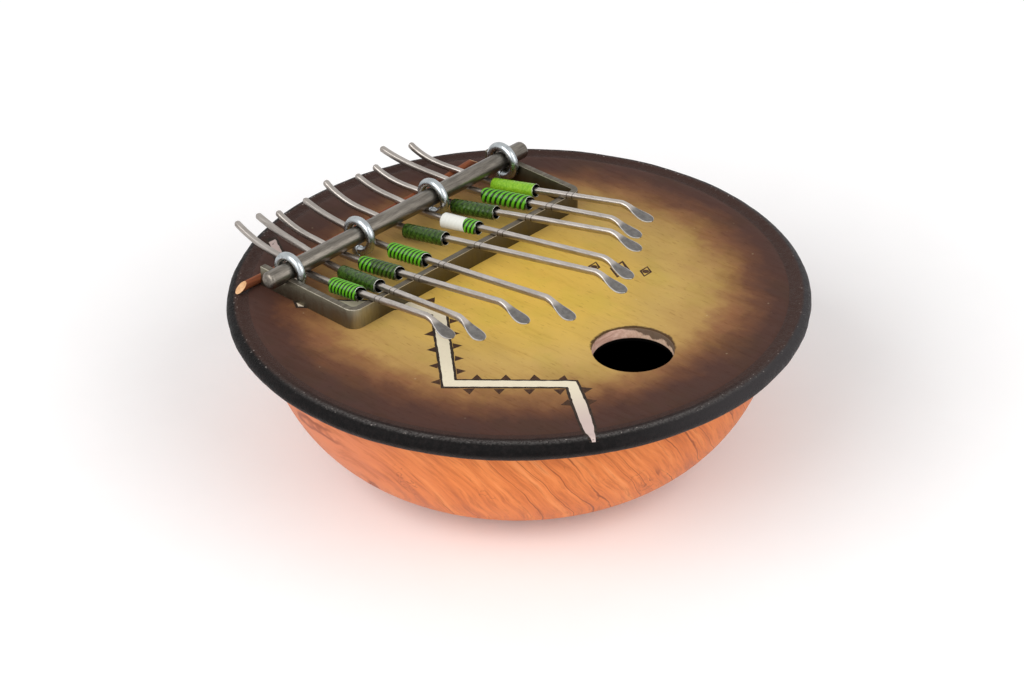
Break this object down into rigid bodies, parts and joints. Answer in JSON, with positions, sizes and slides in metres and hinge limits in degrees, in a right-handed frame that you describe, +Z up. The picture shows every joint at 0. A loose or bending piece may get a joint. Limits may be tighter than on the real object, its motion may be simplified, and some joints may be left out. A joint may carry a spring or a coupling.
{
  "type": "kalimba",
  "caption": "Thumb piano with sprung steel tongues and loose buzzer sleeves on a round soundboard over a turned wooden bowl with a sound hole.",
  "frame": {"origin": "under the middle of the bowl's foot, on the surface it stands on", "axes": "+X along the pressure bar, +Y towards the tails of the tongues, so their playing tips point to -Y, +Z up"},
  "size_m": [0.22, 0.22, 0.088],
  "materials": {
    "bowl_wood": "satin oiled, streaked grain",
    "board_wood": "sunburst stain, blackened edge",
    "frame_steel": "dull rolled strip",
    "stick_wood": "bare, whittled ends",
    "bar_steel": "drawn rod",
    "zinc_plate": "bright zinc",
    "tongue_steel": "hammered wire",
    "printed_sheet": "gloss print on rolled sheet"
  },
  "bodies": {
    "resonator": {"bowl": "bowl_wood", "soundboard": "board_wood", "bridge_frame": "frame_steel", "rear_bridge_stick": "stick_wood", "pressure_bar": "bar_steel", "eye_bolt_1": "zinc_plate", "eye_bolt_2": "zinc_plate", "eye_bolt_3": "zinc_plate", "eye_bolt_4": "zinc_plate", "washer_1": "zinc_plate", "washer_2": "zinc_plate", "washer_3": "zinc_plate", "washer_4": "zinc_plate", "nut_1": "zinc_plate", "nut_2": "zinc_plate", "nut_3": "zinc_plate", "nut_4": "zinc_plate"},
    "tongue_1": {"tongue_1": "tongue_steel"},
    "tongue_2": {"tongue_2": "tongue_steel"},
    "tongue_3": {"tongue_3": "tongue_steel"},
    "tongue_4": {"tongue_4": "tongue_steel"},
    "tongue_5": {"tongue_5": "tongue_steel"},
    "tongue_6": {"tongue_6": "tongue_steel"},
    "tongue_7": {"tongue_7": "tongue_steel"},
    "tongue_8": {"tongue_8": "tongue_steel"},
    "tongue_9": {"tongue_9": "tongue_steel"},
    "sleeve_1": {"sleeve_1": "printed_sheet"},
    "sleeve_2": {"sleeve_2": "printed_sheet"},
    "sleeve_3": {"sleeve_3": "printed_sheet"},
    "sleeve_4": {"sleeve_4": "printed_sheet"},
    "sleeve_5": {"sleeve_5": "printed_sheet"},
    "sleeve_6": {"sleeve_6": "printed_sheet"},
    "sleeve_7": {"sleeve_7": "printed_sheet"},
    "sleeve_8": {"sleeve_8": "printed_sheet"},
    "sleeve_9": {"sleeve_9": "printed_sheet"}
  },
  "joints": [
    {"name": "tongue_1_bend", "type": "hinge", "parent": "resonator", "child": "tongue_1", "pos_m": [-0.05394, 0.0235, 0.0773], "axis": [0.9983, -0.0576, 0], "range_deg": [-0.5, 1.2], "stiffness_Nm_per_rad": 22.1},
    {"name": "tongue_2_bend", "type": "hinge", "parent": "resonator", "child": "tongue_2", "pos_m": [-0.04594, 0.0235, 0.0773], "axis": [0.9942, -0.108, 0], "range_deg": [-0.5, 1.2], "stiffness_Nm_per_rad": 17.7},
    {"name": "tongue_3_bend", "type": "hinge", "parent": "resonator", "child": "tongue_3", "pos_m": [-0.03339, 0.0235, 0.0773], "axis": [1, -0.0052, 0], "range_deg": [-0.5, 1.2], "stiffness_Nm_per_rad": 16.3},
    {"name": "tongue_4_bend", "type": "hinge", "parent": "resonator", "child": "tongue_4", "pos_m": [-0.02016, 0.0235, 0.0773], "axis": [0.9991, -0.0419, 0], "range_deg": [-0.5, 1.2], "stiffness_Nm_per_rad": 13.4},
    {"name": "tongue_5_bend", "type": "hinge", "parent": "resonator", "child": "tongue_5", "pos_m": [-0.00126, 0.0235, 0.0773], "axis": [0.998, 0.0628, 0], "range_deg": [-0.5, 1.2], "stiffness_Nm_per_rad": 13.1},
    {"name": "tongue_6_bend", "type": "hinge", "parent": "resonator", "child": "tongue_6", "pos_m": [0.01157, 0.0235, 0.0773], "axis": [0.9995, 0.0314, 0], "range_deg": [-0.5, 1.2], "stiffness_Nm_per_rad": 14.3},
    {"name": "tongue_7_bend", "type": "hinge", "parent": "resonator", "child": "tongue_7", "pos_m": [0.02687, 0.0235, 0.0773], "axis": [0.9925, 0.1219, 0], "range_deg": [-0.5, 1.2], "stiffness_Nm_per_rad": 17.6},
    {"name": "tongue_8_bend", "type": "hinge", "parent": "resonator", "child": "tongue_8", "pos_m": [0.03866, 0.0235, 0.0773], "axis": [0.9966, 0.0819, 0], "range_deg": [-0.5, 1.2], "stiffness_Nm_per_rad": 20.7},
    {"name": "tongue_9_bend", "type": "hinge", "parent": "resonator", "child": "tongue_9", "pos_m": [0.05009, 0.0235, 0.0773], "axis": [0.99, 0.1409, 0], "range_deg": [-0.5, 1.2], "stiffness_Nm_per_rad": 23.4},
    {"name": "sleeve_1_turn", "type": "hinge", "parent": "tongue_1", "child": "sleeve_1", "pos_m": [-0.05268, 0.04536, 0.07283], "axis": [-0.0567, -0.9839, 0.1693], "continuous": true},
    {"name": "sleeve_2_turn", "type": "hinge", "parent": "tongue_2", "child": "sleeve_2", "pos_m": [-0.04304, 0.05024, 0.07199], "axis": [-0.1065, -0.9799, 0.1686], "continuous": true},
    {"name": "sleeve_3_turn", "type": "hinge", "parent": "tongue_3", "child": "sleeve_3", "pos_m": [-0.03326, 0.0494, 0.07213], "axis": [-0.0052, -0.9855, 0.1695], "continuous": true},
    {"name": "sleeve_4_turn", "type": "hinge", "parent": "tongue_4", "child": "sleeve_4", "pos_m": [-0.01913, 0.04798, 0.07238], "axis": [-0.0413, -0.9847, 0.1694], "continuous": true},
    {"name": "sleeve_5_turn", "type": "hinge", "parent": "tongue_5", "child": "sleeve_5", "pos_m": [-0.0033, 0.05594, 0.07101], "axis": [0.0619, -0.9836, 0.1692], "continuous": true},
    {"name": "sleeve_6_turn", "type": "hinge", "parent": "tongue_6", "child": "sleeve_6", "pos_m": [0.01077, 0.04879, 0.07224], "axis": [0.031, -0.985, 0.1695], "continuous": true},
    {"name": "sleeve_7_turn", "type": "hinge", "parent": "tongue_7", "child": "sleeve_7", "pos_m": [0.02291, 0.05576, 0.07104], "axis": [0.1201, -0.9784, 0.1683], "continuous": true},
    {"name": "sleeve_8_turn", "type": "hinge", "parent": "tongue_8", "child": "sleeve_8", "pos_m": [0.03632, 0.0519, 0.0717], "axis": [0.0808, -0.9823, 0.169], "continuous": true},
    {"name": "sleeve_9_turn", "type": "hinge", "parent": "tongue_9", "child": "sleeve_9", "pos_m": [0.04552, 0.05568, 0.07105], "axis": [0.1389, -0.976, 0.1679], "continuous": true}
  ]
}
